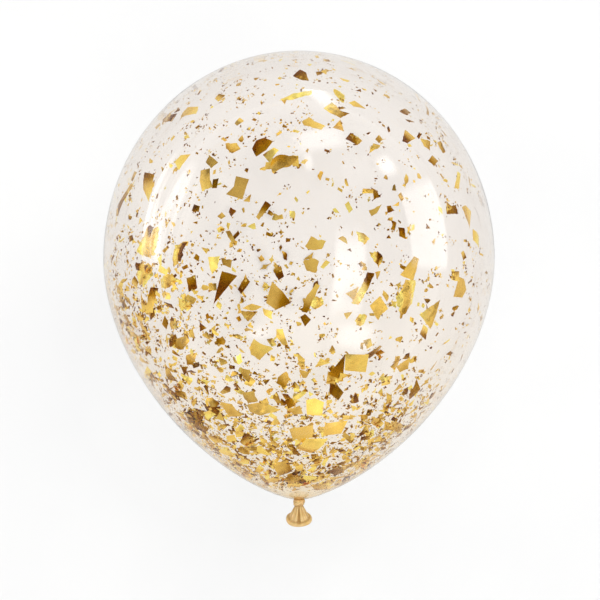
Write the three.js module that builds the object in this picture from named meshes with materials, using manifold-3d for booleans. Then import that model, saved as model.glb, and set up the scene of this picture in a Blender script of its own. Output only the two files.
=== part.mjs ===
// A tied latex balloon, blown up tight and lying on its side. Millimetres, +Z up.
// The balloon's own axis runs along Y: the crown points to +Y, and the knot and the flared tail to -Y.
// It is one moulding of latex, so it is one solid: the sealed envelope, the short neck, the overhand knot
// tied in it, and the loose tail below the knot, which is an open bell with a rolled bead round its mouth.
// The tail hangs a little way towards the floor. A small flat spot under the widest station is where the
// tight skin rests. The origin is at the middle of the footprint, on the floor.
import * as THREE from "three";
import { mergeVertices } from "three/addons/utils/BufferGeometryUtils.js";
import Module from "manifold-3d";

// Envelope. a is the distance along the balloon's axis from the widest station, positive towards the knot.
const BELLY_R = 145; // widest radius
const CROWN_L = 155.3; // widest station to the tip of the crown
const LOWER_L = 178.1; // widest station to where the lower curve would close
const CROWN_P = 2.04; // exponent of the crown's curve: 2 is an ellipse
const LOWER_P = 1.854; // exponents of the lower curve, which tapers to the neck
const LOWER_Q = 0.686;
const FLAT_DEPTH = 1.5; // how far the skin is pressed in where it rests
const SIDES = 72; // round the axis
const CROWN_STEPS = 17;
const LOWER_STEPS = 20;

// Neck and knot
const NECK_R = 4.3; // where the envelope ends and the tied neck begins
const NECK_A = 177.4;
const KNOT_A = 178.6; // middle of the knot
const KNOT_HALF_W = 3.7; // the core of the knot, across, along and up
const KNOT_HALF_L = 3.9;
const KNOT_HALF_H = 3.5;
const WRAP_R = 2.9; // the turn of latex that passes round the core, slantwise
const WRAP_ROPE_R = 1.55;
const WRAP_SLANT = 34; // degrees
const WAIST_A = 182.4; // where the tail leaves the knot
const WAIST_R = 2.95;

// Tail: a pleated bell with a rolled bead
const DROOP = 30; // degrees that the tail bends towards the floor
const TAIL_L = 10.4; // waist to the middle of the bead's ring
const RIM_RX = 8.25; // the ring's centre line, across and up
const RIM_RZ = 7.8;
const RIM_SAG = 1.6; // how much further out the rim's upper and lower middle reach than its sides
const FLARE = 0.95; // exponent of the flare: 1 is a cone
const BEAD_R = 1.55;
const WALL = 0.6;
const HOLLOW_FROM = 0.34; // share of the tail's length, from the waist, that is gathered shut
const PLEATS = 7;
const PLEAT_DEPTH = 0.17; // of the radius, at the waist
const TAIL_SIDES = 48;
const TAIL_STEPS = 8;
const BEAD_SIDES = 9;

const wasm = await Module();
wasm.setup();
const deg = (d) => (d * Math.PI) / 180;

// Radius of the envelope at a.
function envelopeR(a) {
  if (a <= 0)
    return BELLY_R * Math.sqrt(Math.max(0, 1 - Math.pow(-a / CROWN_L, CROWN_P)));
  return (
    BELLY_R *
    Math.pow(Math.max(0, 1 - Math.pow(a / LOWER_L, LOWER_P)), LOWER_Q)
  );
}

// A three.js geometry as a solid that can be joined and cut.
function solid(geometry) {
  const g = (geometry.index ? geometry.toNonIndexed() : geometry.clone())
    .deleteAttribute("normal")
    .deleteAttribute("uv");
  const m = mergeVertices(g, 1e-4);
  const kept = [];
  const ix = m.index.array;
  for (let i = 0; i < ix.length; i += 3)
    if (ix[i] !== ix[i + 1] && ix[i + 1] !== ix[i + 2] && ix[i] !== ix[i + 2])
      kept.push(ix[i], ix[i + 1], ix[i + 2]);
  return new wasm.Manifold(
    new wasm.Mesh({
      numProp: 3,
      vertProperties: m.attributes.position.array,
      triVerts: new Uint32Array(kept),
    }),
  );
}

// A closed surface from rings of points. With open ends, each end is closed at its own ring's middle.
function fromRings(rings, loop) {
  const n = rings[0].length;
  const pos = [];
  const tri = (p, q, r) => pos.push(...p.toArray(), ...q.toArray(), ...r.toArray());
  const last = loop ? rings.length : rings.length - 1;
  for (let i = 0; i < last; i++) {
    const A = rings[i];
    const B = rings[(i + 1) % rings.length];
    for (let j = 0; j < n; j++) {
      const k = (j + 1) % n;
      tri(A[j], B[j], B[k]);
      tri(A[j], B[k], A[k]);
    }
  }
  if (!loop) {
    const middle = (R) =>
      R.reduce((s, p) => s.add(p), new THREE.Vector3()).divideScalar(R.length);
    const first = rings[0];
    const end = rings[rings.length - 1];
    const c0 = middle(first);
    const c1 = middle(end);
    for (let j = 0; j < n; j++) {
      const k = (j + 1) % n;
      tri(c0, first[j], first[k]);
      tri(c1, end[k], end[j]);
    }
  }
  const g = new THREE.BufferGeometry();
  g.setAttribute("position", new THREE.Float32BufferAttribute(pos, 3));
  return g;
}

const facingOut = (s, make) => (s.volume() > 0 ? s : make());

// Envelope and neck: one profile turned round the Y axis, closed on the axis at both ends.
function envelope() {
  const p = [new THREE.Vector2(0, CROWN_L)];
  for (let i = 1; i <= CROWN_STEPS; i++) {
    const a = -CROWN_L * Math.cos((i / CROWN_STEPS) * (Math.PI / 2));
    p.push(new THREE.Vector2(envelopeR(a), -a));
  }
  // Steps that close up towards the neck, where the profile turns in quickly.
  for (let i = 1; i < LOWER_STEPS; i++) {
    const a = LOWER_L * Math.sin((i / LOWER_STEPS) * (Math.PI / 2) * 0.985);
    if (envelopeR(a) > NECK_R * 2.1) p.push(new THREE.Vector2(envelopeR(a), -a));
  }
  p.push(new THREE.Vector2(NECK_R * 1.55, -(NECK_A - 0.75)));
  p.push(new THREE.Vector2(NECK_R * 1.08, -(NECK_A - 0.1)));
  p.push(new THREE.Vector2(NECK_R * 0.94, -(NECK_A + 0.9)));
  p.push(new THREE.Vector2(0, -(NECK_A + 1.2)));
  p.reverse();
  return solid(new THREE.LatheGeometry(p, SIDES));
}

// Knot: a core with one turn of the neck passing slantwise round it.
function knot() {
  const core = new THREE.SphereGeometry(1, 20, 12)
    .scale(KNOT_HALF_W, KNOT_HALF_L, KNOT_HALF_H)
    .translate(0, -KNOT_A, 0);
  const turn = new THREE.TorusGeometry(WRAP_R, WRAP_ROPE_R, 10, 28)
    .rotateX(Math.PI / 2)
    .rotateZ(deg(WRAP_SLANT))
    .rotateX(deg(12))
    .translate(0, -KNOT_A - 0.1, 0);
  return solid(core).add(solid(turn));
}

// The tail's own frame: along m from the waist, x across and n up.
const m = new THREE.Vector3(0, -Math.cos(deg(DROOP)), -Math.sin(deg(DROOP)));
const n = new THREE.Vector3(0, -Math.sin(deg(DROOP)), Math.cos(deg(DROOP)));
const WAIST = new THREE.Vector3(0, -WAIST_A, 0);
function inTail(along, x, up) {
  return WAIST.clone()
    .addScaledVector(m, along)
    .add(new THREE.Vector3(x, 0, 0))
    .addScaledVector(n, up);
}

// A point of the bell's wall at share v from the waist to the rim, angle q round it, taken in by inset.
function bell(v, q, inset) {
  const flare = Math.pow(v, FLARE);
  const pleat =
    1 - PLEAT_DEPTH * (1 - v) * (0.5 + 0.5 * Math.cos(PLEATS * (q - Math.PI / 2)));
  const rx = (WAIST_R + (RIM_RX - WAIST_R) * flare) * pleat - inset;
  const rz = (WAIST_R + (RIM_RZ - WAIST_R) * flare) * pleat - inset;
  const sag = RIM_SAG * v * v * Math.pow(Math.sin(q), 2);
  return inTail(TAIL_L * v + sag, rx * Math.cos(q), rz * Math.sin(q));
}

function tail() {
  const ring = (v, inset) =>
    Array.from({ length: TAIL_SIDES }, (_, j) =>
      bell(v, (j / TAIL_SIDES) * 2 * Math.PI, inset),
    );
  const rings = [];
  // The root of the bell starts inside the knot.
  rings.push(
    Array.from({ length: TAIL_SIDES }, (_, j) => {
      const q = (j / TAIL_SIDES) * 2 * Math.PI;
      return inTail(-2.2, WAIST_R * 0.7 * Math.cos(q), WAIST_R * 0.7 * Math.sin(q));
    }),
  );
  for (let i = 0; i <= TAIL_STEPS; i++) rings.push(ring(i / TAIL_STEPS, 0));
  for (let i = TAIL_STEPS; i >= 0; i--) {
    const v = HOLLOW_FROM + (1 - HOLLOW_FROM) * (i / TAIL_STEPS);
    // The hollow closes to nothing where the folds meet.
    const closing = Math.pow(i / TAIL_STEPS, 0.5);
    const outer = WAIST_R + (RIM_RX - WAIST_R) * Math.pow(v, FLARE);
    rings.push(ring(v, WALL * closing + outer * 0.93 * (1 - closing)));
  }
  const make = () => solid(fromRings(rings, false));
  return facingOut(make(), () => solid(fromRings(rings.slice().reverse(), false)));
}

// The rolled bead: a round section swept along the rim.
function bead() {
  const rim = (q) => bell(1, q, 0);
  const rings = [];
  for (let j = 0; j < TAIL_SIDES; j++) {
    const q = (j / TAIL_SIDES) * 2 * Math.PI;
    const p = rim(q);
    const t = rim(q + 0.01).sub(rim(q - 0.01)).normalize();
    const out = new THREE.Vector3().crossVectors(t, m).normalize();
    const side = new THREE.Vector3().crossVectors(t, out).normalize();
    rings.push(
      Array.from({ length: BEAD_SIDES }, (_, i) => {
        const w = (i / BEAD_SIDES) * 2 * Math.PI;
        return p
          .clone()
          .addScaledVector(out, BEAD_R * Math.cos(w))
          .addScaledVector(side, BEAD_R * Math.sin(w));
      }),
    );
  }
  const make = () => solid(fromRings(rings, true));
  return facingOut(make(), () => solid(fromRings(rings.slice().reverse(), true)));
}

let latex = envelope().add(knot()).add(tail()).add(bead());

// The flat spot: everything more than BELLY_R - FLAT_DEPTH below the axis is cut away.
const under = new THREE.BoxGeometry(400, 600, 100).translate(
  0,
  0,
  -(BELLY_R - FLAT_DEPTH) - 50,
);
latex = latex.subtract(solid(under));

// Into the part's frame: on the floor, with the footprint's middle at the origin.
const mesh = latex.getMesh();
const geometry = new THREE.BufferGeometry();
geometry.setAttribute(
  "position",
  new THREE.BufferAttribute(new Float32Array(mesh.vertProperties), 3),
);
geometry.setIndex(new THREE.BufferAttribute(new Uint32Array(mesh.triVerts), 1));
geometry.computeBoundingBox();
const box = geometry.boundingBox;
geometry.translate(0, -(box.min.y + box.max.y) / 2, -box.min.z);
geometry.computeVertexNormals();

const balloon = new THREE.Mesh(
  geometry,
  new THREE.MeshStandardMaterial({
    color: new THREE.Color(0.96, 0.9, 0.8),
    roughness: 0.08,
    metalness: 0,
    transparent: true,
    opacity: 0.35,
  }),
);
balloon.name = "latex_balloon";

const part = new THREE.Group();
part.add(balloon);
export default part;
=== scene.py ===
# A tied, clear latex balloon with loose gold foil inside, lying on its side on a pale floor.
# Metres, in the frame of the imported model: the balloon's axis runs along Y, crown to +Y, knot and tail to -Y,
# and it lies on z = 0. The camera looks straight down on it.
import math

import bpy
import numpy as np
from mathutils import Matrix, Vector


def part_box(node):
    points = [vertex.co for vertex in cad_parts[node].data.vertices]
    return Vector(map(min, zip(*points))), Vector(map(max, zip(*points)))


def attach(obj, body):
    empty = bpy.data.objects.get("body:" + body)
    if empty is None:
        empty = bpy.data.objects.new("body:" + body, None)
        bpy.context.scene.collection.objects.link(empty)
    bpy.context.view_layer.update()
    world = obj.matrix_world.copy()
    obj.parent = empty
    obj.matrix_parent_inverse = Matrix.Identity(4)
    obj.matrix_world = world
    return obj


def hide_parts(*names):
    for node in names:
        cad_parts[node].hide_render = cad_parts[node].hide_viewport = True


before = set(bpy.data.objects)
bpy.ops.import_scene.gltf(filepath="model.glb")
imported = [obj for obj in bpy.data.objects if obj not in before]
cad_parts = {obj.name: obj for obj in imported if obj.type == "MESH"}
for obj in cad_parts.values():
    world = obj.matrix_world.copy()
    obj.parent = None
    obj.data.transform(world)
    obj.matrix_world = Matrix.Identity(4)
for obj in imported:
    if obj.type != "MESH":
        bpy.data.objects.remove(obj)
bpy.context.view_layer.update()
NODE = "latex_balloon"
LOW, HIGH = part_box(NODE)

# ---------------------------------------------------------------- named sizes, in metres
MM = 0.001
BELLY_R = 145 * MM
CROWN_L, CROWN_P = 155.3 * MM, 2.04
LOWER_L, LOWER_P, LOWER_Q = 178.1 * MM, 1.854, 0.686
FLAT_DEPTH = 1.5 * MM
AXIS_Z = BELLY_R - FLAT_DEPTH  # height of the balloon's axis
BELLY_Y = HIGH.y - CROWN_L  # the widest station
SKIN_T = 0.12 * MM  # thickness drawn for the skin
NECK_A = 177.4 * MM  # where the envelope ends, measured from the widest station
SEED = 20611

rng = np.random.default_rng(SEED)


# ---------------------------------------------------------------- shape of the envelope
def radius(a):
    """Radius at a, the distance along the axis from the widest station, positive towards the knot."""
    a = np.asarray(a, float)
    crown = np.clip(1 - np.power(np.clip(-a / CROWN_L, 0, 1), CROWN_P), 0, 1) ** 0.5
    lower = np.clip(1 - np.power(np.clip(a / LOWER_L, 0, 1), LOWER_P), 0, 1) ** LOWER_Q
    return BELLY_R * np.where(a < 0, crown, lower)


def slope(a):
    """How fast the radius changes along a."""
    h = 1e-5
    return (radius(a + h) - radius(a - h)) / (2 * h)


def wall_point(a, phi, depth=0.0):
    """A point on the skin, or depth inside it, and the outward normal there. phi is round the axis, 0 up, positive
    towards +X. The row's Y runs against a."""
    a = np.asarray(a, float)
    phi = np.asarray(phi, float)
    r = radius(a)
    s = np.clip(slope(a), -12, 12)
    n = np.stack([np.sin(phi), s, np.cos(phi)], -1)
    n = n / np.linalg.norm(n, axis=-1, keepdims=True)
    p = np.stack([r * np.sin(phi), BELLY_Y - a + 0 * phi, AXIS_Z + r * np.cos(phi)], -1)
    return p - n * np.asarray(depth)[..., None], n


def new_object(name, verts, faces, smooth=True):
    me = bpy.data.meshes.new(name)
    me.from_pydata([tuple(v) for v in verts], [], [tuple(f) for f in faces])
    me.validate()
    me.update()
    if smooth:
        me.polygons.foreach_set("use_smooth", [True] * len(me.polygons))
    o = bpy.data.objects.new(name, me)
    bpy.context.scene.collection.objects.link(o)
    return o


# ---------------------------------------------------------------- node helpers
def material(name):
    m = bpy.data.materials.new(name)
    m.use_nodes = True
    nt = m.node_tree
    nt.nodes.clear()
    out = nt.nodes.new("ShaderNodeOutputMaterial")
    b = nt.nodes.new("ShaderNodeBsdfPrincipled")
    nt.links.new(b.outputs[0], out.inputs["Surface"])
    return m, nt, b, out


def noise(nt, vector, scale, detail=2.0, rough=0.5):
    n = nt.nodes.new("ShaderNodeTexNoise")
    n.inputs["Scale"].default_value = scale
    n.inputs["Detail"].default_value = detail
    n.inputs["Roughness"].default_value = rough
    nt.links.new(vector, n.inputs["Vector"])
    return n.outputs["Fac"]


def ramp(nt, value, stops, interpolation="LINEAR"):
    r = nt.nodes.new("ShaderNodeValToRGB")
    r.color_ramp.interpolation = interpolation
    e = r.color_ramp.elements
    while len(e) < len(stops):
        e.new(0.5)
    for k, (at, c) in enumerate(stops):
        e[k].position = at
        e[k].color = (*c, 1) if len(c) == 3 else c
    nt.links.new(value, r.inputs["Fac"])
    return r.outputs["Color"]


def remap(nt, value, lo, hi, to_lo, to_hi):
    m = nt.nodes.new("ShaderNodeMapRange")
    m.inputs["From Min"].default_value = lo
    m.inputs["From Max"].default_value = hi
    m.inputs["To Min"].default_value = to_lo
    m.inputs["To Max"].default_value = to_hi
    nt.links.new(value, m.inputs["Value"])
    return m.outputs["Result"]


def mix(nt, fac, a, b, blend="MIX"):
    m = nt.nodes.new("ShaderNodeMix")
    m.data_type = "RGBA"
    m.blend_type = blend
    m.clamp_factor = True
    for socket, value in ((m.inputs["Factor"], fac), (m.inputs["A"], a), (m.inputs["B"], b)):
        if isinstance(value, bpy.types.NodeSocket):
            nt.links.new(value, socket)
        elif isinstance(value, (int, float)):
            socket.default_value = value
        else:
            socket.default_value = (*value, 1)
    return m.outputs["Result"]


def bump(nt, height, strength, distance):
    b = nt.nodes.new("ShaderNodeBump")
    b.inputs["Strength"].default_value = strength
    b.inputs["Distance"].default_value = distance
    nt.links.new(height, b.inputs["Height"])
    return b.outputs["Normal"]


def coords(nt, which="Object"):
    return nt.nodes.new("ShaderNodeTexCoord").outputs[which]


def separate(nt, vector):
    s = nt.nodes.new("ShaderNodeSeparateXYZ")
    nt.links.new(vector, s.inputs[0])
    return s.outputs


# ---------------------------------------------------------------- the skin
def build_skin():
    """The envelope as a closed shell: an outer and an inner face SKIN_T apart, joined at the neck, with the flat spot
    that it rests on pressed into both."""
    sides, crown_steps, lower_steps = 192, 56, 72
    a = [-CROWN_L * math.cos(i / crown_steps * math.pi / 2) for i in range(1, crown_steps + 1)]
    for i in range(1, lower_steps + 1):
        v = LOWER_L * math.sin(i / lower_steps * math.pi / 2)
        if v < NECK_A and float(radius(v)) > 5.2 * MM:
            a.append(v)
    a = np.array(a)
    neck = [(5.0 * MM, NECK_A - 0.9 * MM), (4.3 * MM, NECK_A - 0.2 * MM), (3.9 * MM, NECK_A + 0.8 * MM)]
    outer = [(float(radius(v)), float(v)) for v in a] + neck
    verts, faces = [], []
    phis = np.linspace(0, 2 * math.pi, sides, endpoint=False)

    def pressed(p, lift):
        p = p.copy()
        p[2] = max(p[2], lift)
        return p

    def shell(depth, lift):
        """Indices of the tip and of each ring."""
        tip = len(verts)
        verts.append((0.0, BELLY_Y + CROWN_L - depth, AXIS_Z))
        rings = []
        prof = np.array(outer)
        d = np.gradient(prof, axis=0)
        normal = np.stack([-d[:, 1], d[:, 0]], 1)
        normal /= np.linalg.norm(normal, axis=1, keepdims=True)
        normal *= np.where(normal[:, :1] > 0, 1, 1)
        # outward: away from the axis on the belly
        if normal[len(a) // 2, 0] < 0:
            normal = -normal
        for (r, v), nn in zip(prof, normal):
            rr, vv = r - depth * nn[0], v - depth * nn[1]
            rings.append(len(verts))
            for f in phis:
                verts.append(tuple(pressed(np.array([rr * math.sin(f), BELLY_Y - vv, AXIS_Z + rr * math.cos(f)]), lift)))
        return tip, rings

    t0, o = shell(0.0, 0.0)
    t1, i = shell(SKIN_T, SKIN_T)

    def skin(tip, rings, flip):
        for j in range(sides):
            k = (j + 1) % sides
            f = (tip, rings[0] + j, rings[0] + k)
            faces.append(f[::-1] if flip else f)
        for r0, r1 in zip(rings, rings[1:]):
            for j in range(sides):
                k = (j + 1) % sides
                f = (r0 + j, r1 + j, r1 + k, r0 + k)
                faces.append(f[::-1] if flip else f)

    skin(t0, o, False)
    skin(t1, i, True)
    for j in range(sides):
        k = (j + 1) % sides
        faces.append((o[-1] + j, i[-1] + j, i[-1] + k, o[-1] + k))
    ob = new_object("skin", verts, faces)
    ob.visible_shadow = False
    ob.visible_diffuse = False
    return ob


def skin_material():
    m, nt, b, out = material("clear_latex")
    b.inputs["Transmission Weight"].default_value = 1.0
    b.inputs["IOR"].default_value = 1.28
    b.inputs["Roughness"].default_value = 0.0
    y = separate(nt, coords(nt))[1]
    # pale at the crown, a little warmer down the envelope, and deep where the latex is stretched less, at the neck
    near = remap(nt, y, BELLY_Y + CROWN_L, BELLY_Y - NECK_A, 0.0, 1.0)
    tint = ramp(
        nt,
        near,
        [
            (0.0, (0.976, 0.949, 0.924)),
            (0.45, (0.976, 0.946, 0.917)),
            (0.68, (0.979, 0.942, 0.899)),
            (0.888, (0.981, 0.937, 0.876)),
            (0.944, (0.983, 0.930, 0.852)),
            (0.983, (0.985, 0.910, 0.780)),
            (1.0, (0.975, 0.820, 0.570)),
        ],
    )
    nt.links.new(tint, b.inputs["Base Color"])
    # faint thick and thin patches in the dipped skin
    nt.links.new(bump(nt, noise(nt, coords(nt), 9.0, 2.0, 0.45), 0.05, 0.004), b.inputs["Normal"])
    return m


# ---------------------------------------------------------------- knot and tail
KNOT_A = 178.6 * MM
WAIST_A = 182.4 * MM
DROOP = math.radians(30)
TAIL_L = 11.7 * MM
WAIST_R = 2.95 * MM
RIM_RX, RIM_RZ = 8.25 * MM, 7.8 * MM
RIM_SAG = 0.35 * MM
BEAD_R = 1.5 * MM
WALL = 0.45 * MM
FLARE = 0.95
HOLLOW_FROM = 0.3
TAIL_M = np.array([0, -math.cos(DROOP), -math.sin(DROOP)])
TAIL_N = np.array([0, -math.sin(DROOP), math.cos(DROOP)])
WAIST = np.array([0, BELLY_Y - WAIST_A, AXIS_Z])


def in_tail(along, x, up):
    return WAIST + along * TAIL_M + np.array([x, 0, 0]) + up * TAIL_N


def bell(v, q, inset):
    """A point of the bell's wall: v from the waist to the rim, q round it, taken in by inset."""
    fade = (1 - v) ** 0.8
    top = math.atan2(math.sin(q - math.pi / 2), math.cos(q - math.pi / 2))
    gathers = 0.11 * fade * (0.5 + 0.5 * math.cos(9 * top + 0.7 * math.sin(3 * q)))
    fine = 0.035 * fade * math.cos(23 * q + 5 * v)
    fold = 0.5 * math.exp(-((top / (0.10 + 0.12 * v)) ** 2)) * (1 - v) ** 0.45
    side = sum(0.16 * math.exp(-(((top - s) / 0.17) ** 2)) * (1 - v) ** 0.8 for s in (-0.62, 0.6, 1.25, -1.3, 2.2, -2.3))
    shrink = 1 - gathers - fine - fold - side
    flare = v**FLARE
    rx = (WAIST_R + (RIM_RX - WAIST_R) * flare) * shrink - inset
    rz = (WAIST_R + (RIM_RZ - WAIST_R) * flare) * shrink - inset
    sag = RIM_SAG * v * v * math.sin(q) ** 2 + 0.35 * MM * v**3 * math.sin(3 * q + 0.6)
    return in_tail(TAIL_L * v + sag, rx * math.cos(q), rz * math.sin(q))


def tube(rings, closed):
    """Faces over rings of equal length, given as vertex indices; closed joins the last ring to the first."""
    faces = []
    pairs = list(zip(rings, rings[1:])) + ([(rings[-1], rings[0])] if closed else [])
    for A, B in pairs:
        n = len(A)
        for j in range(n):
            k = (j + 1) % n
            faces.append((A[j], A[k], B[k], B[j]))
    return faces


def build_tail():
    parts = []

    def add(points_rings, closed, caps=False):
        verts, rings = [], []
        for R in points_rings:
            rings.append(list(range(len(verts), len(verts) + len(R))))
            verts.extend(R)
        faces = tube(rings, closed)
        if caps:
            c0 = len(verts)
            verts.append(np.mean(points_rings[0], axis=0))
            c1 = len(verts)
            verts.append(np.mean(points_rings[-1], axis=0))
            n = len(rings[0])
            for j in range(n):
                k = (j + 1) % n
                faces.append((c0, rings[0][k], rings[0][j]))
                faces.append((c1, rings[-1][j], rings[-1][k]))
        parts.append((verts, faces))

    # the bell: down the outside and back up the inside
    n = 144
    steps = 22
    q = [j / n * 2 * math.pi for j in range(n)]
    rings = [[in_tail(-2.4 * MM, 0.7 * WAIST_R * math.cos(t), 0.7 * WAIST_R * math.sin(t)) for t in q]]
    for s in range(steps + 1):
        rings.append([bell(s / steps, t, 0) for t in q])
    for s in range(steps, -1, -1):
        v = HOLLOW_FROM + (1 - HOLLOW_FROM) * s / steps
        closing = (s / steps) ** 0.5
        full = WAIST_R + (RIM_RX - WAIST_R) * v**FLARE
        rings.append([bell(v, t, WALL * closing + full * 0.55 * (1 - closing)) for t in q])
    add(rings, False, True)

    # the rolled bead
    rings = []
    sides = 20
    for t in q:
        p = bell(1, t, 0)
        along = bell(1, t + 0.01, 0) - bell(1, t - 0.01, 0)
        along /= np.linalg.norm(along)
        outw = np.cross(along, TAIL_M)
        outw /= np.linalg.norm(outw)
        side = np.cross(along, outw)
        r = BEAD_R * (1 + 0.035 * math.sin(5 * t + 1) + 0.02 * math.sin(13 * t))
        rings.append([p + outw * r * math.cos(w) + side * r * math.sin(w) for w in (i / sides * 2 * math.pi for i in range(sides))])
    add(rings, True)

    # the knot's core: a lumpy ball, creased lengthwise
    rings = []
    us = 48
    for i in range(1, 28):
        th = math.pi * i / 28
        ring = []
        for j in range(us):
            f = j / us * 2 * math.pi
            lump = 1 + 0.05 * math.sin(3 * f + 2 * th) + 0.035 * math.cos(7 * f) * math.sin(th)
            ring.append(
                np.array(
                    [
                        4.35 * MM * lump * math.sin(th) ** 0.8 * math.cos(f),
                        BELLY_Y - KNOT_A - 0.6 * MM + 3.1 * MM * math.cos(th),
                        AXIS_Z + 4.0 * MM * lump * math.sin(th) ** 0.8 * math.sin(f),
                    ]
                )
            )
        rings.append(ring)
    add(rings, False, True)

    # the turn that passes slantwise round it, and the strand that comes out under it
    def loop(centre_a, big, rope, slant, tip, flat, turns=1.0):
        rings = []
        m_, w_ = 72, 18
        cs, sn = math.cos(slant), math.sin(slant)
        ct, st_ = math.cos(tip), math.sin(tip)
        for j in range(m_):
            t = j / m_ * 2 * math.pi * turns
            ring = []
            for i in range(w_):
                w = i / w_ * 2 * math.pi
                rr = rope * (1 + 0.08 * math.sin(4 * w + 2 * t) + 0.05 * math.sin(3 * t))
                x = (big + rr * math.cos(w)) * math.cos(t)
                z = (big + rr * math.cos(w)) * math.sin(t) * 0.95
                y = rr * flat * math.sin(w)
                x, y = x * cs - y * sn, x * sn + y * cs
                y, z = y * ct - z * st_, y * st_ + z * ct
                ring.append(np.array([x, BELLY_Y - centre_a + y, AXIS_Z + z]))
            rings.append(ring)
        add(rings, True)

    loop(KNOT_A + 0.9 * MM, 3.35 * MM, 1.3 * MM, math.radians(30), math.radians(10), 1.0)
    loop(KNOT_A + 0.7 * MM, 3.2 * MM, 1.15 * MM, math.radians(-33), math.radians(-6), 0.9)
    # the collar that the neck is gathered into
    loop(KNOT_A - 1.9 * MM, 2.75 * MM, 0.85 * MM, math.radians(-4), math.radians(3), 0.9)

    verts, faces = [], []
    for v, f in parts:
        base = len(verts)
        verts.extend(v)
        faces.extend(tuple(base + i for i in t) for t in f)
    ob = new_object("knot_and_tail", verts, faces)
    # one skin out of the overlapping lumps
    bpy.context.view_layer.objects.active = ob
    bpy.context.view_layer.update()
    mod = ob.modifiers.new("one_skin", "REMESH")
    mod.mode = "VOXEL"
    mod.voxel_size = 0.16 * MM
    mod.use_smooth_shade = True
    soft = ob.modifiers.new("soft", "SMOOTH")
    soft.factor = 0.5
    soft.iterations = 3
    dg = bpy.context.evaluated_depsgraph_get()
    me = bpy.data.meshes.new_from_object(ob.evaluated_get(dg), depsgraph=dg)
    ob.modifiers.clear()
    old = ob.data
    ob.data = me
    bpy.data.meshes.remove(old)
    me.name = "knot_and_tail"
    me.polygons.foreach_set("use_smooth", [True] * len(me.polygons))

    # painted shade, partly also the deeper colour of latex lying double: darker in the pleats and creases, at the
    # collar, waist and bead lines and at the sides of the bell and knot, where the light doesn't get in
    co = np.zeros(len(me.vertices) * 3)
    me.vertices.foreach_get("co", co)
    co = co.reshape(-1, 3)
    rel = co - WAIST
    v = rel @ TAIL_M / TAIL_L
    up = rel @ TAIL_N
    q = np.arctan2(up, co[:, 0])
    top = np.angle(np.exp(1j * (q - math.pi / 2)))
    a = BELLY_Y - co[:, 1]

    def near(x, at, width):
        return np.exp(-(((x - at) / width) ** 2))

    on_bell = np.clip(v / 0.12, 0, 1)
    double_latex_and_painted_shade = on_bell * (
        0.95 * near(top, 0, 0.13 + 0.05 * v) * np.clip((1.02 - v) / 0.25, 0, 1)
        + 0.42 * near(np.abs(top), 0.6, 0.13) * np.clip(1 - v, 0, 1)
        + 0.6 * near(np.abs(top), math.pi / 2 + 0.1, 0.42) * np.clip(1.25 - v, 0, 1)
    )
    # painted shade in the groove between the bell and its rolled bead
    double_latex_and_painted_shade += 0.5 * near(v, 0.86, 0.045) * (v < 1.0)
    knot = (a > 173 * MM) & (v < 0.12)
    # painted shade on the knot: dark lines at the collar, the waist and the slanting turn, and darker towards its
    # sides
    double_latex_and_painted_shade += knot * (0.9 * near(a, 177.55 * MM, 0.4 * MM) + 0.7 * near(a, 182.5 * MM, 0.7 * MM) + 0.6 * (np.abs(co[:, 0]) / (4.6 * MM)) ** 3 + 0.35 * near(a, 180.4 * MM + 0.35 * co[:, 0], 0.3 * MM))
    attr = me.attributes.new("double_latex_and_painted_shade", "FLOAT", "POINT")
    attr.data.foreach_set("value", np.clip(double_latex_and_painted_shade, 0, 1).astype(np.float32))
    return ob


def tail_material():
    m, nt, b, out = material("tail_latex")
    c = coords(nt)
    xyz = separate(nt, c)
    tone = noise(nt, c, 260.0, 3.0, 0.55)
    col = ramp(nt, tone, [(0.3, (0.70, 0.46, 0.16)), (0.55, (0.80, 0.57, 0.25)), (0.8, (0.88, 0.67, 0.34))])
    # painted shade in the creases: darker where the surface folds inwards
    geo = nt.nodes.new("ShaderNodeNewGeometry")
    crease_shade = remap(nt, geo.outputs["Pointiness"], 0.44, 0.52, 1.0, 0.0)
    col = mix(nt, crease_shade, col, (0.36, 0.19, 0.045))
    # painted shade from the mesh's attribute, partly the deeper colour of latex lying double
    painted_shade_attr = nt.nodes.new("ShaderNodeAttribute")
    painted_shade_attr.attribute_name = "double_latex_and_painted_shade"
    col = mix(nt, remap(nt, painted_shade_attr.outputs["Fac"], 0.0, 1.0, 0.0, 0.85), col, (0.40, 0.21, 0.045))
    # a warmer knot
    knot = remap(nt, xyz[1], BELLY_Y - WAIST_A - 1 * MM, BELLY_Y - NECK_A, 0.0, 0.35)
    col = mix(nt, knot, col, (0.78, 0.5, 0.17), "MULTIPLY")
    nt.links.new(col, b.inputs["Base Color"])
    b.inputs["Subsurface Weight"].default_value = 0.25
    b.inputs["Subsurface Radius"].default_value = (1.0, 0.5, 0.2)
    b.inputs["Subsurface Scale"].default_value = 0.0012
    b.inputs["IOR"].default_value = 1.5
    rough = remap(nt, noise(nt, c, 900.0, 2.0, 0.5), 0.3, 0.7, 0.34, 0.52)
    nt.links.new(rough, b.inputs["Roughness"])
    nt.links.new(bump(nt, noise(nt, c, 1400.0, 3.0, 0.6), 0.25, 0.00012), b.inputs["Normal"])
    return m


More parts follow.
